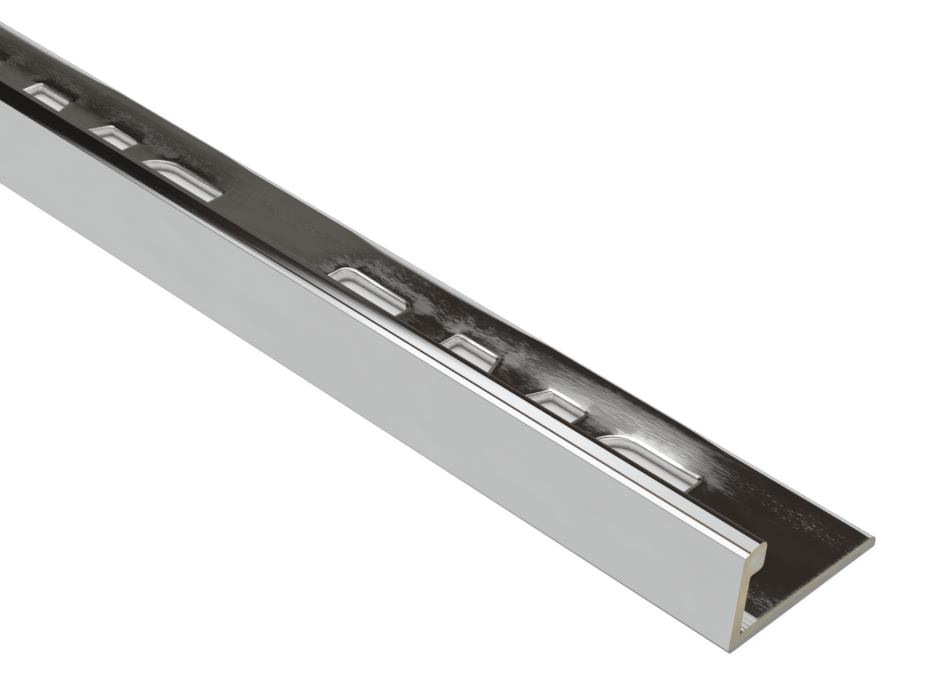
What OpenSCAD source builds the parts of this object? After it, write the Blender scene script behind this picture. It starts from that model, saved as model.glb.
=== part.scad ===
// Straight-edge tile trim: an extruded L-shaped bar with a show face,
// a thick lip along its top and a punched anchoring leg.
// The bar lies along X. Y runs from the show face to the leg's far edge,
// and Z is up. The origin is the middle of the underside.

/* [Bar] */
// Length of the bar as it is sold
bar_length = 2500; // [300:10:3000]

/* [Section] */
// Height from the underside to the top of the lip
section_h = 12.5; // [10:0.5:15]
// Width from the show face to the far edge of the leg
leg_w = 24.7; // [22:0.1:30]
// Thickness of the anchoring leg
leg_t = 1.6; // [1.2:0.1:2]
// Thickness of the upright wall behind the show face
wall_t = 1.5; // [1.2:0.1:2]
// Width of the lip, from the show face to its back
lip_w = 3.5; // [3.2:0.1:4.5]
// Depth of the lip, from its top to its ledge
lip_h = 3.6; // [3:0.1:4.5]

/* [Lip top] */
// Width of the bevel next to the show face
bevel_w = 0.74; // [0.4:0.02:0.8]
// Tilt of that bevel, in degrees
bevel_tilt = 20.5; // [10:0.5:30]
// Width of the narrow step behind the bevel
step_w = 0.2; // [0.1:0.02:0.4]
// Tilt of that step, in degrees
step_tilt = 30; // [20:1:45]
// Width of the main slope behind the step
slope_w = 1.28; // [0.8:0.02:1.4]
// Tilt of the main slope, in degrees
slope_tilt = 14; // [4:0.5:18]

/* [Edges] */
// Radius of the lip's upper back edge
lip_back_r = 0.9; // [0.4:0.05:0.9]
// Radius of the lip's lower back edge
ledge_edge_r = 0.65; // [0.2:0.05:0.8]
// Radius of the hollow between the ledge and the wall
ledge_hollow_r = 0.3; // [0.2:0.05:0.6]
// Radius of the hollow between the wall and the leg
root_hollow_r = 0.2; // [0.1:0.05:0.6]
// Radius of the lower edge of the show face
foot_r = 0.15; // [0.1:0.05:0.6]
// Radius of the leg's upper far edge
leg_edge_r = 1.1; // [0.4:0.1:1.2]
// Radius of the leg's lower far edge
leg_toe_r = 0.1; // [0.1:0.05:0.4]

/* [Punching] */
// Distance from the bar's +X end to the first hole
end_margin = 18.3; // [8:0.1:30]
// Distance between the starts of neighbouring groups of holes
group_pitch = 75; // [60:0.5:100]
// Distance from the show face to the far side of the holes
hole_far_y = 17.8; // [15:0.1:19]
// Width of the holes across the leg
hole_w = 6.9; // [5:0.1:8]
// Length of the long slot, round end included
long_slot_l = 11.8; // [9:0.1:13]
// Length of the short slot
short_slot_l = 10.2; // [7:0.1:12]
// Corner radius of the short slot
short_slot_r = 1.2; // [0.6:0.1:2]
// Length of the first key hole along its far side
key_1_l = 5; // [4:0.1:6]
// Length of the second key hole along its far side
key_2_l = 5.8; // [4:0.1:6]
// Slant of the key holes' facing ends, in degrees
key_slant = 21; // [5:1:22]
// Distance from the start of a group to the first key hole
key_1_start = 16; // [14.5:0.1:16.5]
// Distance from the start of a group to the second key hole's straight end
key_2_end = 35.2; // [34.5:0.1:38]
// Distance from the start of a group to the short slot
short_slot_start = 43; // [40:0.1:46]
// Corner radius of the long slot's square end and of the key holes
hole_corner_r = 0.4; // [0.2:0.1:0.8]

/* [Hidden] */
$fn = 64;
// How far a cutting shape runs past the surface that it cuts
overcut = 1;
ledge_z = section_h - lip_h;
// Corners of the lip's faceted top, from the show face backwards
step_y = bevel_w + step_w;
crest_y = step_y + slope_w;
slope_z = section_h - slope_w * tan(slope_tilt);
bevel_z = slope_z - step_w * tan(step_tilt);
face_z = bevel_z - bevel_w * tan(bevel_tilt);
// Centre of the lip's upper back edge
back_y = lip_w - lip_back_r;
back_z = section_h - lip_back_r;
// Room that one group of holes takes along the bar
group_l = short_slot_start + short_slot_l;
group_count = floor((bar_length - 2 * end_margin - group_l) / group_pitch) + 1;
hole_near_y = hole_far_y - hole_w;
key_spread = hole_w * tan(key_slant);

// Waste outside a rounded corner at the origin, with the material at positive x and y
module corner_waste(r) {
    difference() {
        translate([-overcut, -overcut]) square(r + overcut);
        translate([r, r]) circle(r);
    }
}

// Material in a hollow corner at the origin that opens towards +x and +y
module hollow_fill(r) {
    difference() {
        square(r);
        translate([r, r]) circle(r);
    }
}

// Convex outline with every corner rounded to radius r
module rounded_outline(points, r) {
    count = len(points);
    function unit(v) = v / norm(v);
    function to_next(i) = unit(points[(i + 1) % count] - points[i]);
    function to_last(i) = unit(points[(i + count - 1) % count] - points[i]);
    // Half of the angle inside corner i
    function half(i) = acos(to_next(i) * to_last(i)) / 2;
    polygon([for (i = [0 : count - 1], way = [to_last(i), to_next(i)]) points[i] + way * r / tan(half(i))]);
    for (i = [0 : count - 1])
        translate(points[i] + unit(to_next(i) + to_last(i)) * r / sin(half(i))) circle(r);
}

// Anchoring leg with an eased foot and a far edge that is rounded mostly from above
module leg_section() {
    difference() {
        square([leg_w, leg_t]);
        corner_waste(foot_r);
        translate([leg_w, 0]) mirror([1, 0]) corner_waste(leg_toe_r);
        translate([leg_w, leg_t]) rotate(180) corner_waste(leg_edge_r);
    }
}

// Upright wall between the leg and the ledge, with a hollow at each end
module wall_section() {
    translate([0, leg_t]) square([wall_t, ledge_z - leg_t]);
    translate([wall_t, leg_t]) hollow_fill(root_hollow_r);
    translate([wall_t, ledge_z]) mirror([0, 1]) hollow_fill(ledge_hollow_r);
}

// Lip: a faceted top that falls towards the show face, and a rounded back
module lip_section() {
    polygon([
        [0, ledge_z],
        [back_y, ledge_z],
        [back_y, section_h],
        [crest_y, section_h],
        [step_y, slope_z],
        [bevel_w, bevel_z],
        [0, face_z]
    ]);
    translate([back_y, back_z]) circle(lip_back_r);
    difference() {
        translate([0, ledge_z]) square([lip_w, back_z - ledge_z]);
        translate([lip_w, ledge_z]) mirror([1, 0]) corner_waste(ledge_edge_r);
    }
}

// Slot with a square end at the origin and a round end towards +x
module long_slot() {
    round_r = hole_w / 2;
    rounded_outline([[0, 0], [long_slot_l - round_r, 0], [long_slot_l - round_r, hole_w], [0, hole_w]],
        hole_corner_r);
    translate([round_r, 0]) square([long_slot_l - 2 * round_r, hole_w]);
    translate([long_slot_l - round_r, round_r]) circle(round_r);
}

// Hole with a straight end at the origin and a slanted end that widens it towards the wall
module key_hole(length) {
    rounded_outline([[0, 0], [length + key_spread, 0], [length, hole_w], [0, hole_w]], hole_corner_r);
}

// Plain slot with rounded corners
module short_slot() {
    rounded_outline([[0, 0], [short_slot_l, 0], [short_slot_l, hole_w], [0, hole_w]], short_slot_r);
}

// One group of holes, measured along the bar from the start of its long slot
module hole_group() {
    long_slot();
    translate([key_1_start, 0]) key_hole(key_1_l);
    translate([key_2_end, 0]) mirror([1, 0]) key_hole(key_2_l);
    translate([short_slot_start, 0]) short_slot();
}

// The punched bar, with the first group of holes at its +X end
module edge_trim() {
    color("#c9cacb")
    translate([0, -leg_w / 2, 0])
    difference() {
        rotate([90, 0, 90]) linear_extrude(bar_length, center = true) {
            leg_section();
            wall_section();
            lip_section();
        }
        for (i = [0 : group_count - 1])
            translate([bar_length / 2 - end_margin - i * group_pitch, hole_near_y, -overcut])
                linear_extrude(leg_t + 2 * overcut) mirror([1, 0]) hole_group();
    }
}

edge_trim();
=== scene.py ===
import math

import bmesh
import bpy
from mathutils import Matrix, Vector
from mathutils.geometry import delaunay_2d_cdt


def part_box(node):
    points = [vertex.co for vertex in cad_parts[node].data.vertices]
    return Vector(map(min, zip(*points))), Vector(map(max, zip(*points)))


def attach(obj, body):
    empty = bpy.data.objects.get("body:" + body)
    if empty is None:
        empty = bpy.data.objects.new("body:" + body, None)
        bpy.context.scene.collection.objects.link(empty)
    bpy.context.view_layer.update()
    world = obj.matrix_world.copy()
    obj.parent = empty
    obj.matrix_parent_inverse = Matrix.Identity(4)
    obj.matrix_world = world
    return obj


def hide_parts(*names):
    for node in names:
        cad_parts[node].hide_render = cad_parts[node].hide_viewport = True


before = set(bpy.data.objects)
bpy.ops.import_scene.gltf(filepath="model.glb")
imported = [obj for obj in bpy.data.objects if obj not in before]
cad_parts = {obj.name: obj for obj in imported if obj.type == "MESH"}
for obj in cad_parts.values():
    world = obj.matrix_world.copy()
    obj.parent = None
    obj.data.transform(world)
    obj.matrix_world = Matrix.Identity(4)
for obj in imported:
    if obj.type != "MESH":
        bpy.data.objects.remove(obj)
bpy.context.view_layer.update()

# Overall sizes of the trim in millimetres, from the frame
TRIM_LOW, TRIM_HIGH = (Vector(corner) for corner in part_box("edge_trim"))
BAR_LENGTH, LEG_W, SECTION_H = (round(side * 1000, 3) for side in TRIM_HIGH - TRIM_LOW)

# Section, as the solid has it
LEG_T = 1.6
WALL_T = 1.5
LIP_W = 3.5
LIP_H = 3.6
BEVEL_W = 0.74
STEP_W = 0.2
SLOPE_W = 1.28
BEVEL_TILT = math.radians(20.5)
STEP_TILT = math.radians(30)
SLOPE_TILT = math.radians(14)
LIP_BACK_R = 0.9
LEDGE_EDGE_R = 0.65
LEDGE_HOLLOW_R = 0.3
ROOT_HOLLOW_R = 0.2
FOOT_R = 0.15
LEG_EDGE_R = 1.1
LEG_TOE_R = 0.1
LEDGE_Z = SECTION_H - LIP_H
STEP_Y = BEVEL_W + STEP_W
CREST_Y = STEP_Y + SLOPE_W
SLOPE_Z = SECTION_H - SLOPE_W * math.tan(SLOPE_TILT)
BEVEL_Z = SLOPE_Z - STEP_W * math.tan(STEP_TILT)
FACE_Z = BEVEL_Z - BEVEL_W * math.tan(BEVEL_TILT)

# Punching, as the solid has it
END_MARGIN = 18.3
GROUP_PITCH = 75.0
GROUP_COUNT = 33
HOLE_FAR = 17.8
HOLE_W = 6.9
HOLE_NEAR = HOLE_FAR - HOLE_W
KEY_SPREAD = HOLE_W * math.tan(math.radians(21))
HOLE_CORNER_R = 0.4
SHORT_SLOT_R = 1.2
# From where to where along the group each hole runs on its far side
LONG_SLOT = (0.0, 11.8)
FIRST_KEY = (16.0, 21.0)
SECOND_KEY = (29.4, 35.2)
SHORT_SLOT = (43.0, 53.2)
HOLE_SPANS = (LONG_SLOT, FIRST_KEY, SECOND_KEY, SHORT_SLOT)
# Points along the straight sides of a hole are about this far apart
HOLE_SPACING = 1.6
# Plain stretch of bar before the first strip of sheet that has holes
LEAD_IN = 9.0

# Fine relief that the solid leaves out
# The polished bevel and slope are slightly crowned, with this share of each facet on the round
CROWN = math.radians(2.1)
CROWN_SHARE = 0.85
# Eased edges of the lip's top: along the show face, beside the step and at the crest
FACE_EDGE_R = 0.12
STEP_EDGE_R = 0.04
CREST_R = 0.1
# Ripples in the leg along the foot of the wall, where its top dips a little: where they start, how
# round they are, and the width and tilt in degrees of each
RIPPLE_START = 4.5
RIPPLE_R = 1.0
RIPPLES = ((0.25, 2.4), (0.5, 6.0), (0.12, 1.0), (0.45, 6.5), (0.14, 0.5),
           (0.4, 6.0), (0.2, 0.5), (0.25, 6.5), (0.2, 0.3))
# The rim that the punch draws down: a bevel that steepens towards the hole, then a tight roll
RIM_BEVEL_W = 0.4
RIM_TILT = math.radians(14)
RIM_ROLL_R = 0.2
RIM_STEPS = 4
RIM_W = RIM_BEVEL_W + RIM_ROLL_R * (1 - math.sin(RIM_TILT))
# The leg sinks a little around each group of holes: from where to where along the group, how deep,
# how fast that dies away, where it ends, how round its far corners are, how far apart the points of
# its mesh are, and how far they stay from the holes' rims
DISH_SPAN = (-0.5, 51.0)
DISH_DEPTH = 0.32
DISH_FADE = 3.3
DISH_REACH = 8.0
DISH_CORNER_R = 5.0
DISH_GRID = 1.3
DISH_CLEAR = 0.35
# The flat strip that is left along the leg's far edge, and how far the dish takes to fade into it
FLAT_STRIP = 1.15
STRIP_FADE = 2.6
# Marks of the punch: from where to where along the group, how fast they die away around the holes,
# how much of them is left in the row of holes, how much less they are beside a wide gap between two
# holes, and from where to where that takes hold
STRAIN_SPAN = (LONG_SLOT[0], SHORT_SLOT[1])
STRAIN_FADE = 5.0
STRAIN_BETWEEN = 0.55
GAP_LOSS = 0.6
GAP_SPAN = (1.2, 3.2)
# How much less they are before the long slot's square end, and where across the leg that takes hold
START_LOSS = 0.65
START_BAND = (18.6, 17.0)
# Eased edge of the sawn ends, smaller than any round of the section
SAWN_EASE = 0.03
# Edges sharper than this stay sharp in the shading
SHARP_FROM = math.radians(28)

# Two trails of scratches run along the leg, one on from the far side of the holes and the other beside
# the foot of the wall: how far across the bar the middle of each is, in metres
FAR_TRAIL = 0.0079
NEAR_TRAIL = -0.0051

# Finishes, in the order of the mesh's material slots
SHOW, LEG, EDGE, SAWN, RIM, WALL = range(6)


def eased_loop(corners, spacing=None):
    """Rounds a closed outline. Each corner starts with (x, y, radius, arc steps), and straight sides
    are split to the spacing. Returns points with their outward normals and the corner each came from."""
    points = []
    count = len(corners)
    for i, (x, y, radius, steps) in enumerate(corner[:4] for corner in corners):
        here = Vector((x, y))
        back = (Vector(corners[i - 1][:2]) - here).normalized()
        ahead = (Vector(corners[(i + 1) % count][:2]) - here).normalized()
        half = back.angle(ahead) / 2
        centre = here + (back + ahead).normalized() * radius / math.sin(half)
        start = here + back * radius / math.tan(half) - centre
        turn = start.angle_signed(here + ahead * radius / math.tan(half) - centre)
        outward = 1 if back.cross(ahead) < 0 else -1
        for k in range(steps + 1):
            spoke = start.copy()
            spoke.rotate(Matrix.Rotation(-turn * k / steps, 2))
            points.append((centre + spoke, spoke.normalized() * outward, i))
    if spacing is None:
        return points
    split = []
    for i, (point, normal, corner) in enumerate(points):
        split.append((point, normal, corner))
        following, _, next_corner = points[(i + 1) % len(points)]
        if next_corner != corner:
            parts = max(1, round((following - point).length / spacing))
            split += [(point.lerp(following, k / parts), normal, corner) for k in range(1, parts)]
    return split


def wall_foot_ripples():
    """Corners of the ripples in the leg's top, from the level part towards the wall."""
    y, z = RIPPLE_START, LEG_T
    corners = [(y, z, RIPPLE_R, 3, LEG, LEG)]
    for width, tilt in RIPPLES:
        y -= width
        z -= width * math.tan(math.radians(tilt))
        corners.append((y, z, RIPPLE_R, 3, LEG, LEG))
    return corners


def crowned(y0, z0, y1, z1):
    """Corner that crowns the facet between two corners of the lip's top."""
    run = abs(y1 - y0) / 2
    middle_z = (z0 + z1) / 2 + run * math.tan(CROWN)
    return ((y0 + y1) / 2, middle_z, CROWN_SHARE * run / math.tan(CROWN), 6, SHOW, SHOW)


def section_outline():
    """The bar's section in (y, z), anticlockwise from the foot of the show face, with the finish of
    the strip that follows each point, and the last point of each corner."""
    # Each corner is (y, z, radius, steps, finish of its round, finish of the side that follows it)
    ripples = wall_foot_ripples()
    corners = [
        (0, 0, FOOT_R, 5, SHOW, LEG),
        (LEG_W, 0, LEG_TOE_R, 4, EDGE, EDGE),
        (LEG_W, LEG_T, LEG_EDGE_R, 12, EDGE, LEG),
        *ripples,
        (WALL_T, ripples[-1][1], ROOT_HOLLOW_R, 4, LEG, LEG),
        (WALL_T, LEDGE_Z, LEDGE_HOLLOW_R, 6, LEG, LEG),
        (LIP_W, LEDGE_Z, LEDGE_EDGE_R, 7, LEG, SHOW),
        (LIP_W, SECTION_H, LIP_BACK_R, 14, SHOW, SHOW),
        (CREST_Y, SECTION_H, CREST_R, 3, SHOW, SHOW),
        crowned(CREST_Y, SECTION_H, STEP_Y, SLOPE_Z),
        (STEP_Y, SLOPE_Z, STEP_EDGE_R, 3, SHOW, SHOW),
        (BEVEL_W, BEVEL_Z, STEP_EDGE_R, 3, SHOW, SHOW),
        crowned(BEVEL_W, BEVEL_Z, 0, FACE_Z),
        (0, FACE_Z, FACE_EDGE_R, 6, SHOW, SHOW),
    ]
    points = eased_loop(corners)
    finish = []
    for i, (_, _, corner) in enumerate(points):
        on_round = points[(i + 1) % len(points)][2] == corner
        finish.append(corners[corner][4 if on_round else 5])
    last = {corner: i for i, (_, _, corner) in enumerate(points)}
    return points, finish, last


def hole_outlines():
    """Outlines of one group's holes in (u, v): u runs from the group's start, v from the show face."""

    def outline(near_start, near_end, far_start, far_end, start_round, end_round):
        corners = [(near_start, HOLE_NEAR, *start_round), (near_end, HOLE_NEAR, *end_round),
                   (far_end, HOLE_FAR, *end_round), (far_start, HOLE_FAR, *start_round)]
        return eased_loop(corners, HOLE_SPACING)

    # Radius and steps of each kind of corner. The round end keeps a hair of straight side in its middle
    corner = (HOLE_CORNER_R, 4)
    round_end = (HOLE_W / 2 - 0.002, 14)
    slot_corner = (SHORT_SLOT_R, 6)
    return [
        outline(*LONG_SLOT, *LONG_SLOT, corner, round_end),
        outline(FIRST_KEY[0], FIRST_KEY[1] + KEY_SPREAD, *FIRST_KEY, corner, corner),
        outline(SECOND_KEY[0] - KEY_SPREAD, SECOND_KEY[1], *SECOND_KEY, corner, corner),
        outline(*SHORT_SLOT, *SHORT_SLOT, slot_corner, slot_corner),
    ]


def winds_round(place, loop):
    """Whether a convex loop holds a point."""
    return len({(loop[k] - loop[k - 1]).cross(place - loop[k - 1]) > 0 for k in range(len(loop))}) == 1


def distance_to_group(place, span, corner=0.0):
    """Distance from a point of one group's strip to the block that its holes take up, which has the
    given span along the group. The block's far corners can be rounded."""
    first, last = (END_MARGIN - LEAD_IN + u for u in span)
    if place.y < HOLE_FAR - corner:
        corner = 0.0
    aside = max(first + corner - place.x, place.x - last + corner, 0.0)
    beyond = max(HOLE_NEAR - place.y, place.y - HOLE_FAR + corner, 0.0)
    return max(0.0, math.hypot(aside, beyond) - corner)


def fading(distance, fade):
    """One at the holes, dying away to nothing where the dish ends."""
    end = math.exp(-DISH_REACH / fade)
    return max(0.0, (math.exp(-distance / fade) - end) / (1 - end))


def ramp(value, start, end):
    """Zero up to the start and one from the end on."""
    return min(1.0, max(0.0, (value - start) / (end - start)))


def dish_depth(place):
    """How far the leg's top sinks at a point of one group's strip. The leg's far edge stays flat."""
    margin = ramp(LEG_W - FLAT_STRIP - place.y, 0.0, STRIP_FADE)
    sunk = fading(distance_to_group(place, DISH_SPAN, DISH_CORNER_R), DISH_FADE)
    return DISH_DEPTH * sunk * margin * margin * (3 - 2 * margin)


def punch_strain(place):
    """How much the punch marked the leg at a point of one group's strip."""
    distance = distance_to_group(place, STRAIN_SPAN)
    strain = fading(distance, STRAIN_FADE) if distance else STRAIN_BETWEEN
    u = place.x - END_MARGIN + LEAD_IN
    if u < STRAIN_SPAN[0]:
        return strain * (1 - START_LOSS * ramp(place.y, *START_BAND))
    if u > STRAIN_SPAN[1]:
        return strain
    gap = min(max(first - u, u - last, 0.0) for first, last in HOLE_SPANS)
    return strain * (1 - GAP_LOSS * ramp(gap, *GAP_SPAN))


def dish_points(v0, v1, rims):
    """Points spread over the dished part of one group's strip, clear of the holes' rims."""
    found = []
    rows = round((v1 - v0) / DISH_GRID)
    columns = round(GROUP_PITCH / DISH_GRID)
    for row in range(1, rows):
        for k in range(1, columns):
            stagger = 0.5 * (row % 2)
            place = Vector((GROUP_PITCH * (k + stagger) / (columns + 0.5), v0 + (v1 - v0) * row / rows))
            on_rim = any(winds_round(place, rim) for rim in rims)
            if distance_to_group(place, DISH_SPAN) < DISH_REACH and not on_rim:
                found.append(place)
    return found


def pierced_sheet(v0, v1, loops, between=()):
    """Triangles that fill one group's strip of sheet around its holes. Vertices 0 to 3 are the
    strip's corners, and the loops' points follow in order, then the points between."""
    points = [Vector((0, v0)), Vector((GROUP_PITCH, v0)), Vector((GROUP_PITCH, v1)), Vector((0, v1))]
    edges = [(0, 1), (1, 2), (2, 3), (3, 0)]
    for loop in loops:
        first = len(points)
        points += loop
        edges += [(first + k, first + (k + 1) % len(loop)) for k in range(len(loop))]
    points += between
    made, _, triangles, source, _, _ = delaunay_2d_cdt(points, edges, [], 1, 1e-6)
    kept = []
    for triangle in triangles:
        middle = sum((made[k] for k in triangle), Vector((0, 0))) / 3
        if not any(winds_round(middle, loop) for loop in loops):
            kept.append([source[k][0] for k in triangle])
    return kept


def rim_profile():
    """Steps down a hole's rim: how far outside the hole each is, and its height before dishing."""
    fall = RIM_BEVEL_W * math.tan(RIM_TILT) / 2
    steps = []
    for k in range(RIM_STEPS):
        share = k / RIM_STEPS
        steps.append((RIM_W - RIM_BEVEL_W * share, LEG_T - fall * share * share))
    for k in range(RIM_STEPS + 1):
        tilt = RIM_TILT + (math.pi / 2 - RIM_TILT) * k / RIM_STEPS
        steps.append((RIM_ROLL_R * (1 - math.sin(tilt)),
                      LEG_T - fall - RIM_ROLL_R * (math.cos(RIM_TILT) - math.cos(tilt))))
    return steps


def build_trim_mesh():
    """The whole bar as one closed mesh, with rolled rims on the holes and eased sawn ends."""
    section, finish, last = section_outline()
    count = len(section)
    bm = bmesh.new()
    strain = bm.verts.layers.float.new("punch_strain")

    def place(u, v, z, strained=0.0):
        vert = bm.verts.new(((BAR_LENGTH / 2 - u) / 1000, (v - LEG_W / 2) / 1000, z / 1000))
        vert[strain] = strained
        return vert

    def ring(u, inset=0.0):
        return [place(u, *(point - normal * inset)) for point, normal, _ in section]

    def face(verts, material):
        made = bm.faces.new(verts)
        made.material_index = material
        made.smooth = True

    def band(ring_a, ring_b, finishes=finish, skip=()):
        for i in range(count):
            if i not in skip:
                j = (i + 1) % count
                face((ring_a[i], ring_b[i], ring_b[j], ring_a[j]), finishes[i])

    # Strips of the section that the holes go through: the underside and the top of the leg
    under, upper = last[0], last[2]
    borders = [LEAD_IN + GROUP_PITCH * i for i in range(GROUP_COUNT + 1)]
    rings = [ring(u) for u in borders]
    near_ring, far_ring = ring(SAWN_EASE), ring(BAR_LENGTH - SAWN_EASE)
    near_cap, far_cap = ring(0, SAWN_EASE), ring(BAR_LENGTH, SAWN_EASE)
    band(near_ring, rings[0])
    band(rings[-1], far_ring)
    for cap, end_ring in ((near_cap, near_ring), (far_cap, far_ring)):
        band(cap, end_ring, [SAWN] * count)
        face(cap, SAWN)

    holes = hole_outlines()
    profile = rim_profile()

    def grown(loop, by):
        return [Vector((END_MARGIN - LEAD_IN + point.x, point.y)) + normal * by for point, normal, _ in loop]

    top_edge = (section[upper + 1][0].x, section[upper][0].x)
    low_edge = (section[under][0].x, section[under + 1][0].x)
    dished = dish_points(*top_edge, [grown(hole, RIM_W + DISH_CLEAR) for hole in holes])
    top_faces = pierced_sheet(*top_edge, [grown(hole, RIM_W) for hole in holes], dished)
    low_faces = pierced_sheet(*low_edge, [grown(hole, 0.0) for hole in holes])

    for start, a, b in zip(borders, rings, rings[1:]):
        band(a, b, skip=(under, upper))
        top = [a[upper + 1], b[upper + 1], b[upper], a[upper]]
        low = [a[under], b[under], b[under + 1], a[under + 1]]
        for hole in holes:
            loops = [[place(start + p.x, p.y, z - dish_depth(p)) for p in grown(hole, by)]
                     for by, z in profile]
            loops.append([place(start + p.x, p.y, 0.0) for p in grown(hole, 0.0)])
            for outer, inner in zip(loops, loops[1:]):
                for k in range(len(outer)):
                    j = (k + 1) % len(outer)
                    face((outer[k], outer[j], inner[j], inner[k]), WALL if inner is loops[-1] else RIM)
            top += loops[0]
            low += loops[-1]
        top += [place(start + p.x, p.y, LEG_T - dish_depth(p), punch_strain(p)) for p in dished]
        for corners in top_faces:
            face([top[k] for k in corners], LEG)
        for corners in low_faces:
            face([low[k] for k in corners], LEG)

    bmesh.ops.recalc_face_normals(bm, faces=bm.faces)
    mesh = bpy.data.meshes.new("edge_trim_skin")
    bm.to_mesh(mesh)
    bm.free()
    mesh.set_sharp_from_angle(angle=SHARP_FROM)
    return mesh


def add_node(tree, kind, inputs=None, **settings):
    node = tree.nodes.new(kind)
    for name, value in settings.items():
        setattr(node, name, value)
    for name, value in (inputs or {}).items():
        if isinstance(value, bpy.types.NodeSocket):
            tree.links.new(value, node.inputs[name])
        else:
            node.inputs[name].default_value = value
    return node


def maths(tree, operation, *values):
    return add_node(tree, "ShaderNodeMath", dict(enumerate(values)), operation=operation).outputs[0]


def ease(tree, value, low, high, to_low=0.0, to_high=1.0):
    """Smooth passage from one value to another as the input goes from low to high."""
    return add_node(tree, "ShaderNodeMapRange", {
        "Value": value, "From Min": low, "From Max": high, "To Min": to_low, "To Max": to_high,
    }, interpolation_type="SMOOTHSTEP").outputs["Result"]


def blend_colours(tree, factor, first, second):
    node = add_node(tree, "ShaderNodeMix", {"Factor": factor}, data_type="RGBA", clamp_factor=False)
    for socket, colour in ((node.inputs[6], first), (node.inputs[7], second)):
        if isinstance(colour, bpy.types.NodeSocket):
            tree.links.new(colour, socket)
        else:
            socket.default_value = (*colour, 1)
    return node.outputs[2]


def stretched_noise_group():
    """Noise drawn out along the bar, across it or up it: the marks of a die, a belt or a saw.
    Along, Across and Up are how many marks there are in a metre each way."""
    group = bpy.data.node_groups.new("drawn_marks", "ShaderNodeTree")
    for name, value in (("Along", 40.0), ("Across", 3000.0), ("Up", 3000.0), ("Detail", 2.0)):
        socket = group.interface.new_socket(name=name, in_out="INPUT", socket_type="NodeSocketFloat")
        socket.default_value = value
    group.interface.new_socket(name="Marks", in_out="OUTPUT", socket_type="NodeSocketFloat")
    start = add_node(group, "NodeGroupInput")
    end = add_node(group, "NodeGroupOutput")
    place = add_node(group, "ShaderNodeTexCoord")
    stretch = add_node(group, "ShaderNodeCombineXYZ", {
        "X": start.outputs["Along"], "Y": start.outputs["Across"], "Z": start.outputs["Up"]})
    drawn = add_node(group, "ShaderNodeVectorMath", {0: place.outputs["Object"], 1: stretch.outputs[0]},
                     operation="MULTIPLY")
    noise = add_node(group, "ShaderNodeTexNoise", {
        "Vector": drawn.outputs[0], "Scale": 1.0, "Detail": start.outputs["Detail"], "Roughness": 0.6})
    group.links.new(noise.outputs["Fac"], end.inputs["Marks"])
    return group


def marks(tree, group, along, across, up, detail=2.0):
    node = add_node(tree, "ShaderNodeGroup", node_tree=group)
    for name, value in (("Along", along), ("Across", across), ("Up", up), ("Detail", detail)):
        node.inputs[name].default_value = value
    return node.outputs["Marks"]


def far_edge_wear_group():
    """How dull the plating is along the leg's far edge: a band that is widest between the groups of
    holes and narrowest beside each long slot."""
    group = bpy.data.node_groups.new("far_edge_wear", "ShaderNodeTree")
    group.interface.new_socket(name="Dull", in_out="OUTPUT", socket_type="NodeSocketFloat")
    end = add_node(group, "NodeGroupOutput")
    place = add_node(group, "ShaderNodeTexCoord")
    way = add_node(group, "ShaderNodeSeparateXYZ", {0: place.outputs["Object"]})
    from_first = maths(group, "SUBTRACT", TRIM_HIGH.x - END_MARGIN / 1000, way.outputs["X"])
    in_pitch = maths(group, "FRACT", maths(group, "MULTIPLY", from_first, 1000 / GROUP_PITCH))
    wide = maths(group, "MULTIPLY", ease(group, in_pitch, 0.36, 0.56), ease(group, in_pitch, 0.79, 0.69))
    narrow = maths(group, "MULTIPLY", ease(group, in_pitch, 0.0, 0.1), ease(group, in_pitch, 0.42, 0.34))
    inner = maths(group, "MULTIPLY_ADD", wide, -0.0007, TRIM_HIGH.y - 0.00125)
    inner = maths(group, "MULTIPLY_ADD", narrow, 0.0003, inner)
    softness = maths(group, "MULTIPLY_ADD", wide, 0.0006, 0.0002)
    dull = ease(group, maths(group, "SUBTRACT", way.outputs["Y"], inner), 0.0, softness)
    group.links.new(dull, end.inputs["Dull"])
    return group


def metal_material(name):
    material = bpy.data.materials.new(name)
    material.use_nodes = True
    shader = material.node_tree.nodes["Principled BSDF"]
    shader.inputs["Metallic"].default_value = 1.0
    return material, material.node_tree, shader


def chrome_show_material(drawn_marks):
    """Mirror-polished chrome of the show face and the lip, with faint lines from the polishing belt."""
    material, tree, shader = metal_material("chrome_show")
    belt_lines = marks(tree, drawn_marks, 25, 4500, 4500)
    clouds = marks(tree, drawn_marks, 60, 160, 160, 3)
    colour = blend_colours(tree, ease(tree, clouds, 0.3, 0.7), (0.5, 0.502, 0.506), (0.52, 0.522, 0.524))
    tree.links.new(colour, shader.inputs["Base Color"])
    tree.links.new(ease(tree, belt_lines, 0.3, 0.7, 0.03, 0.07), shader.inputs["Roughness"])
    bump = add_node(tree, "ShaderNodeBump", {"Height": belt_lines, "Strength": 1.0, "Distance": 0.000004})
    tree.links.new(bump.outputs["Normal"], shader.inputs["Normal"])
    return material


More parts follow.
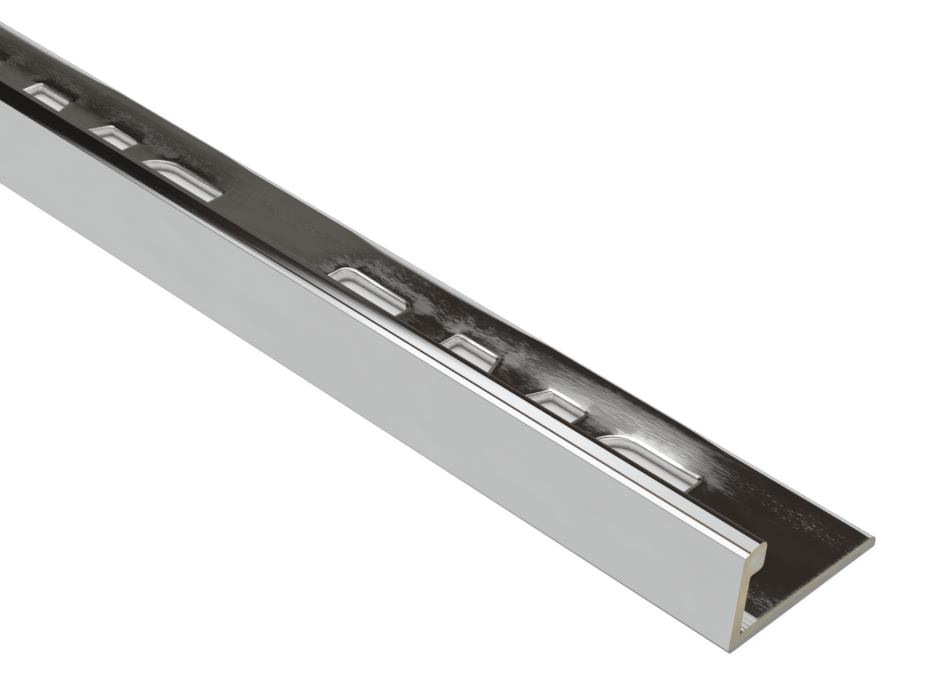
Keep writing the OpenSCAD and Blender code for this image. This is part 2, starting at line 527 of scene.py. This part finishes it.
def chrome_leg_material(drawn_marks, far_edge_wear):
    """Unpolished chrome of the leg: streaky and hazy where the punch strained it, with scratches in
    two trails along the bar and a worn band along its far edge."""
    material, tree, shader = metal_material("chrome_leg")
    worn = add_node(tree, "ShaderNodeGroup", node_tree=far_edge_wear).outputs["Dull"]
    strain = add_node(tree, "ShaderNodeAttribute", attribute_name="punch_strain").outputs["Fac"]
    place = add_node(tree, "ShaderNodeTexCoord")
    way = add_node(tree, "ShaderNodeSeparateXYZ", {0: place.outputs["Object"]})
    along, across = way.outputs["X"], way.outputs["Y"]
    streaks = marks(tree, drawn_marks, 450, 4200, 4200)
    flecks = marks(tree, drawn_marks, 1100, 3600, 3600, 3)
    scratches = marks(tree, drawn_marks, 1500, 9000, 9000, 3)
    blotches = marks(tree, drawn_marks, 130, 450, 450)
    film = marks(tree, drawn_marks, 90, 260, 260, 3)

    uneven = maths(tree, "MULTIPLY_ADD", maths(tree, "SUBTRACT", flecks, 0.5), 1.6, strain)
    uneven = maths(tree, "MULTIPLY_ADD", maths(tree, "SUBTRACT", blotches, 0.5), 1.2, uneven)
    haze = ease(tree, uneven, 0.15, 0.9)
    from_far = maths(tree, "ABSOLUTE", maths(tree, "SUBTRACT", across, FAR_TRAIL))
    from_near = maths(tree, "ABSOLUTE", maths(tree, "SUBTRACT", across, NEAR_TRAIL))
    far_trail = ease(tree, from_far, 0.0026, 0.0004)
    near_trail = ease(tree, from_near, 0.0034, 0.0006)
    trails = maths(tree, "MULTIPLY_ADD", maths(tree, "MAXIMUM", far_trail, near_trail), 0.15, scratches)
    trails = maths(tree, "MULTIPLY_ADD", maths(tree, "SUBTRACT", blotches, 0.5), 0.25, trails)
    scratched = ease(tree, trails, 0.68, 0.88)
    # The saw dulled the last half millimetre
    from_end = maths(tree, "SUBTRACT", TRIM_HIGH.x, maths(tree, "ABSOLUTE", along))
    by_saw = maths(tree, "MULTIPLY", ease(tree, from_end, 0.0005, 0.0),
                   ease(tree, flecks, 0.3, 0.7, 0.06, 0.26))
    dull = maths(tree, "MAXIMUM", maths(tree, "MULTIPLY", haze, 0.2),
                 maths(tree, "MULTIPLY", scratched, 0.28))
    dull = maths(tree, "MAXIMUM", maths(tree, "MAXIMUM", dull, by_saw), maths(tree, "MULTIPLY", worn, 0.4))
    tree.links.new(maths(tree, "ADD", dull, 0.06), shader.inputs["Roughness"])
    colour = blend_colours(tree, ease(tree, film, 0.4, 0.65), (0.54, 0.54, 0.535), (0.475, 0.463, 0.447))
    colour = blend_colours(tree, worn, colour, (0.5, 0.51, 0.52))
    tree.links.new(colour, shader.inputs["Base Color"])
    tree.links.new(maths(tree, "MULTIPLY_ADD", worn, -0.6, 1.0), shader.inputs["Metallic"])
    ridges = maths(tree, "MULTIPLY", streaks, maths(tree, "ADD", strain, 0.12))
    bump = add_node(tree, "ShaderNodeBump", {"Height": ridges, "Strength": 1.0, "Distance": 0.000014})
    tree.links.new(bump.outputs["Normal"], shader.inputs["Normal"])
    return material


def dull_edge_material(drawn_marks, far_edge_wear):
    """Thin dull plating on the leg's far edge, still bright at the top of its round in places."""
    material, tree, shader = metal_material("dull_edge")
    worn = add_node(tree, "ShaderNodeGroup", node_tree=far_edge_wear).outputs["Dull"]
    lines = marks(tree, drawn_marks, 120, 3000, 3000)
    rough = maths(tree, "MULTIPLY", worn, ease(tree, lines, 0.3, 0.7, 0.34, 0.54))
    tree.links.new(maths(tree, "ADD", rough, 0.06), shader.inputs["Roughness"])
    colour = blend_colours(tree, ease(tree, lines, 0.35, 0.65), (0.64, 0.65, 0.66), (0.5, 0.51, 0.52))
    colour = blend_colours(tree, worn, (0.54, 0.54, 0.535), colour)
    tree.links.new(colour, shader.inputs["Base Color"])
    tree.links.new(maths(tree, "MULTIPLY_ADD", worn, -0.6, 1.0), shader.inputs["Metallic"])
    return material


def burnished_rim_material(drawn_marks):
    """Chrome on the rims of the holes, which the punch burnished bright."""
    material, tree, shader = metal_material("burnished_rim")
    rubbed = marks(tree, drawn_marks, 180, 240, 240)
    tree.links.new(ease(tree, rubbed, 0.4, 0.6, 0.05, 0.2), shader.inputs["Roughness"])
    colour = blend_colours(tree, ease(tree, rubbed, 0.4, 0.6), (0.88, 0.88, 0.875), (0.55, 0.545, 0.535))
    tree.links.new(colour, shader.inputs["Base Color"])
    return material


def punched_wall_material(drawn_marks):
    """Walls of the holes: sheared bright at the top, torn towards the underside and darkened there by
    painted shade.
    """
    material, tree, shader = metal_material("punched_wall")
    shader.inputs["Metallic"].default_value = 0.4
    scoring = marks(tree, drawn_marks, 2500, 2500, 200)
    place = add_node(tree, "ShaderNodeTexCoord")
    height = add_node(tree, "ShaderNodeSeparateXYZ", {0: place.outputs["Object"]}).outputs["Z"]
    ragged = maths(tree, "MULTIPLY_ADD", scoring, 0.0003, height)
    # Painted shade: the walls darken towards the underside for the shadow under the leg
    colour = blend_colours(tree, ease(tree, ragged, 0.0002, 0.0009), (0.2, 0.19, 0.17), (0.74, 0.74, 0.73))
    tree.links.new(colour, shader.inputs["Base Color"])
    tree.links.new(ease(tree, scoring, 0.3, 0.7, 0.35, 0.55), shader.inputs["Roughness"])
    return material


def sawn_brass_material(drawn_marks):
    """Bare brass of the sawn ends, with saw lines: greyer in the lip, darker on the leg, and with a
    darker grey over the leg's lower half and its tip."""
    material, tree, shader = metal_material("sawn_brass")
    saw_lines = marks(tree, drawn_marks, 0, 500, 7000)
    clouds = marks(tree, drawn_marks, 0, 420, 420, 3)
    place = add_node(tree, "ShaderNodeTexCoord")
    way = add_node(tree, "ShaderNodeSeparateXYZ", {0: place.outputs["Object"]})
    across, height = way.outputs["Y"], way.outputs["Z"]
    ragged = maths(tree, "MULTIPLY_ADD", clouds, 0.0005, height)
    brass = blend_colours(tree, ease(tree, clouds, 0.38, 0.62), (0.47, 0.39, 0.235), (0.415, 0.373, 0.255))
    lip_middle = (TRIM_HIGH.x, TRIM_LOW.y + 0.0023, 0.0105)
    from_lip = add_node(tree, "ShaderNodeVectorMath", {0: place.outputs["Object"], 1: lip_middle},
                        operation="DISTANCE").outputs["Value"]
    brass = blend_colours(tree, ease(tree, from_lip, 0.0018, 0.0006), brass, (0.45, 0.453, 0.42))
    brass = blend_colours(tree, ease(tree, height, 0.006, 0.0012), brass, (0.31, 0.29, 0.2))
    lined = blend_colours(tree, ease(tree, saw_lines, 0.35, 0.7, 0.0, 0.3), brass, (0.3, 0.28, 0.2))
    # A darker grey covers the leg's lower half, up to a ragged line, and the leg's tip
    grey_band_top = ease(tree, across, TRIM_LOW.y, TRIM_LOW.y + 0.009, 0.0006, 0.00115)
    below = maths(tree, "SUBTRACT", grey_band_top, ragged)
    greyed = maths(tree, "MAXIMUM", ease(tree, below, -0.0001, 0.0002), ease(tree, across, 0.0113, 0.0121))
    colour = blend_colours(tree, greyed, lined, (0.256, 0.244, 0.228))
    tree.links.new(colour, shader.inputs["Base Color"])
    tree.links.new(ease(tree, saw_lines, 0.3, 0.7, 0.32, 0.5), shader.inputs["Roughness"])
    bump = add_node(tree, "ShaderNodeBump", {"Height": saw_lines, "Strength": 1.0, "Distance": 0.00001})
    tree.links.new(bump.outputs["Normal"], shader.inputs["Normal"])
    return material


def build_trim():
    mesh = build_trim_mesh()
    trim = bpy.data.objects.new("edge_trim_skin", mesh)
    bpy.context.scene.collection.objects.link(trim)
    drawn_marks = stretched_noise_group()
    far_edge_wear = far_edge_wear_group()
    for finish in (chrome_show_material(drawn_marks), chrome_leg_material(drawn_marks, far_edge_wear),
                   dull_edge_material(drawn_marks, far_edge_wear), sawn_brass_material(drawn_marks),
                   burnished_rim_material(drawn_marks), punched_wall_material(drawn_marks)):
        mesh.materials.append(finish)
    weigh = trim.modifiers.new("flat_faces_lead", "WEIGHTED_NORMAL")
    weigh.keep_sharp = True
    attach(trim, "root")
    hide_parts("edge_trim")


def build_floor():
    """White floor that metal reflects as the camera sees it. It keeps the bar's shadow, is shaded
    under the bar and along its foot, and lies in the dark some way behind it."""
    half, depth = 8.0, -0.0001
    mesh = bpy.data.meshes.new("floor")
    corners = [(-half, -half, depth), (half, -half, depth), (half, half, depth), (-half, half, depth)]
    mesh.from_pydata(corners, [], [(0, 1, 2, 3)])
    floor = bpy.data.objects.new("floor", mesh)
    bpy.context.scene.collection.objects.link(floor)
    material = bpy.data.materials.new("white_floor")
    material.use_nodes = True
    tree = material.node_tree
    shader = tree.nodes["Principled BSDF"]
    shader.inputs["Base Color"].default_value = (0.85, 0.85, 0.85, 1)
    shader.inputs["Roughness"].default_value = 0.9
    shader.inputs["Specular IOR Level"].default_value = 0.0
    place = add_node(tree, "ShaderNodeTexCoord")
    way = add_node(tree, "ShaderNodeSeparateXYZ", {0: place.outputs["Object"]})
    behind = maths(tree, "SUBTRACT", way.outputs["Y"], TRIM_HIGH.y)
    front = maths(tree, "SUBTRACT", TRIM_LOW.y, way.outputs["Y"])
    across = maths(tree, "MAXIMUM", behind, front)
    along = maths(tree, "SUBTRACT", maths(tree, "ABSOLUTE", way.outputs["X"]), TRIM_HIGH.x)
    outside = maths(tree, "MAXIMUM", across, along)
    under = ease(tree, outside, -0.0003, -0.0006)
    nook = add_node(tree, "ShaderNodeAmbientOcclusion", {"Distance": 0.0012}, samples=8).outputs["AO"]
    depth_of_nook = maths(tree, "MULTIPLY", under, ease(tree, nook, 0.9, 0.2, 0.0, 0.7))
    # The line of shade along the foot fades out away from the near end
    near_part = ease(tree, way.outputs["X"], TRIM_HIGH.x - 0.12, TRIM_HIGH.x)
    foot_line = maths(tree, "MULTIPLY", ease(tree, front, 0.00004, -0.00004),
                      ease(tree, front, -0.0004, -0.0002))
    foot_line = maths(tree, "MULTIPLY", foot_line, maths(tree, "MULTIPLY", near_part, 0.75))
    foot_line = maths(tree, "MULTIPLY", foot_line, ease(tree, along, 0.0002, 0.0001))
    # The line in front of the near end narrows to nothing at the leg's tip
    end_width = ease(tree, way.outputs["Y"], TRIM_LOW.y - 0.004, TRIM_HIGH.y + 0.004, 0.0002, -0.00005)
    past_end = maths(tree, "SUBTRACT", maths(tree, "SUBTRACT", way.outputs["X"], TRIM_HIGH.x), end_width)
    end_line = maths(tree, "MULTIPLY", ease(tree, past_end, 0.00005, -0.00005, 0.0, 0.82),
                     ease(tree, across, 0.00008, -0.0001))
    end_line = maths(tree, "MULTIPLY", end_line,
                     ease(tree, way.outputs["X"], TRIM_HIGH.x - 0.0003, TRIM_HIGH.x))
    path = add_node(tree, "ShaderNodeLightPath")
    end_line = maths(tree, "MULTIPLY", end_line, path.outputs["Is Camera Ray"])
    # The bar's rounded lower edges reflect the shade right under them
    contact = maths(tree, "MULTIPLY", ease(tree, outside, 0.00002, -0.0001, 0.0, 0.55),
                    ease(tree, outside, -0.0006, -0.0003))
    lines = maths(tree, "MAXIMUM", contact, maths(tree, "MAXIMUM", foot_line, end_line))
    lines = maths(tree, "MULTIPLY", lines, maths(tree, "SUBTRACT", 1.0, under))
    shade = maths(tree, "MULTIPLY", ease(tree, outside, -0.0006, -0.0003, 0.58, 1.0),
                  maths(tree, "SUBTRACT", 1.0, maths(tree, "MAXIMUM", depth_of_nook, lines)))
    mirrored = maths(tree, "MAXIMUM", path.outputs["Is Glossy Ray"], path.outputs["Is Transmission Ray"])
    dark_back = maths(tree, "MULTIPLY", mirrored, ease(tree, behind, 0.0, 0.006, 0.0, 0.85))
    level = maths(tree, "MULTIPLY", shade, maths(tree, "SUBTRACT", 1.0, dark_back))
    white = add_node(tree, "ShaderNodeEmission", {"Color": (1, 1, 1, 1), "Strength": level})
    share = maths(tree, "MAXIMUM", mirrored, maths(tree, "MULTIPLY", path.outputs["Is Camera Ray"], 0.85))
    mix = add_node(tree, "ShaderNodeMixShader", {0: share, 1: shader.outputs[0], 2: white.outputs[0]})
    tree.links.new(mix.outputs[0], tree.nodes["Material Output"].inputs["Surface"])
    mesh.materials.append(material)


def build_studio():
    """A white studio with one broad soft light overhead and a dark brown backdrop on the far left,
    which gives the chrome its contrast. Directions are told by their lean about the bar's own line
    (0 is straight up, positive is behind the bar) and by how far they point along it."""
    world = bpy.data.worlds.new("studio")
    bpy.context.scene.world = world
    world.use_nodes = True
    tree = world.node_tree
    background = tree.nodes["Background"]
    place = add_node(tree, "ShaderNodeTexCoord")
    way = add_node(tree, "ShaderNodeSeparateXYZ", {0: place.outputs["Generated"]})
    right = way.outputs["X"]
    radians = maths(tree, "ARCTAN2", way.outputs["Y"], way.outputs["Z"])
    lean = maths(tree, "MULTIPLY", radians, 180 / math.pi)

    # The overhead light ends at the left in a slanted edge
    left_end = maths(tree, "MAXIMUM", maths(tree, "MULTIPLY_ADD", lean, 0.00384, -0.638), -0.601)
    left_end = maths(tree, "SUBTRACT", left_end, ease(tree, lean, 5.5, 9.0, 0.052, 0.0))
    left_end = maths(tree, "ADD", left_end, ease(tree, lean, 19, 23, 0.0, 0.013))
    left_end = maths(tree, "SUBTRACT", left_end, ease(tree, lean, 30, 36, 0.0, 0.02))
    inside = maths(tree, "SUBTRACT", right, left_end)
    along = maths(tree, "MULTIPLY", ease(tree, inside, -0.035, 0.035), ease(tree, right, -0.25, -0.33))
    across = maths(tree, "MULTIPLY", ease(tree, lean, -5, 3), ease(tree, lean, 46, 38))
    level = add_node(tree, "ShaderNodeMix", {
        "Factor": ease(tree, lean, 9, 14), "A": ease(tree, right, -0.55, -0.59, 1.9, 1.3),
        "B": ease(tree, right, -0.4, -0.5, 1.19, 1.7)}).outputs[0]
    overhead = maths(tree, "MULTIPLY", maths(tree, "MULTIPLY", along, across), level)
    # White walls in front and to the right
    front = ease(tree, lean, -24, -32)
    walls = maths(tree, "MULTIPLY", maths(tree, "MAXIMUM", front, ease(tree, right, -0.15, 0.05)), 0.8)
    # The backdrop is warmer and lighter in front of the light and low at the back, greyer at its left
    # end, and darkest beyond the left end of the light
    warm = maths(tree, "MULTIPLY", ease(tree, lean, 0, -8), ease(tree, right, -0.58, -0.42, 0.2, 1.0))
    backdrop = blend_colours(tree, ease(tree, lean, 54, 75), (0.055, 0.044, 0.037), (0.13, 0.098, 0.075))
    backdrop = blend_colours(tree, warm, backdrop, (0.36, 0.27, 0.2))
    grey = maths(tree, "MULTIPLY", ease(tree, lean, 40, 46), ease(tree, right, -0.55, -0.58))
    backdrop = blend_colours(tree, grey, backdrop, (0.19, 0.175, 0.155))
    unlit = maths(tree, "MULTIPLY", ease(tree, lean, 42, 36), ease(tree, right, -0.6, -0.65))
    backdrop = blend_colours(tree, unlit, backdrop, (0.022, 0.02, 0.018))
    colour = blend_colours(tree, maths(tree, "MAXIMUM", overhead, walls), backdrop, (1, 1, 1))
    tree.links.new(colour, background.inputs["Color"])
    path = add_node(tree, "ShaderNodeLightPath")
    white = add_node(tree, "ShaderNodeBackground", {"Color": (1, 1, 1, 1), "Strength": 1.0})
    seen = maths(tree, "MAXIMUM", path.outputs["Is Camera Ray"], path.outputs["Is Transmission Ray"])
    mix = add_node(tree, "ShaderNodeMixShader", {0: seen, 1: background.outputs[0], 2: white.outputs[0]})
    tree.links.new(mix.outputs[0], tree.nodes["World Output"].inputs["Surface"])

    lamp_data = bpy.data.lights.new("soft_overhead", "AREA")
    lamp_data.shape = "DISK"
    lamp_data.size = 1.5
    lamp_data.energy = 30
    lamp = bpy.data.objects.new("soft_overhead", lamp_data)
    lamp.location = (1.0, -0.2, 1.6)
    lamp.visible_glossy = False
    bpy.context.scene.collection.objects.link(lamp)


def build_camera():
    """The photograph's view, found from the straight edges of the bar."""
    data = bpy.data.cameras.new("camera")
    data.sensor_fit = "HORIZONTAL"
    data.sensor_width = 36
    data.lens = 95.528
    data.clip_start = 0.01
    camera = bpy.data.objects.new("camera", data)
    right = Vector((0.7255061, 0.6841212, 0.0749604))
    up = Vector((-0.4381564, 0.3751562, 0.8168701))
    back = Vector((0.5307163, -0.6254886, 0.5719302))
    turned = Matrix((right, up, back)).transposed().to_4x4()
    camera.matrix_world = Matrix.Translation((1.3473676, -0.1707647, 0.1619558)) @ turned
    bpy.context.scene.collection.objects.link(camera)
    bpy.context.scene.camera = camera


build_camera()
build_studio()
build_floor()
build_trim()
bpy.context.scene.view_settings.view_transform = "Standard"
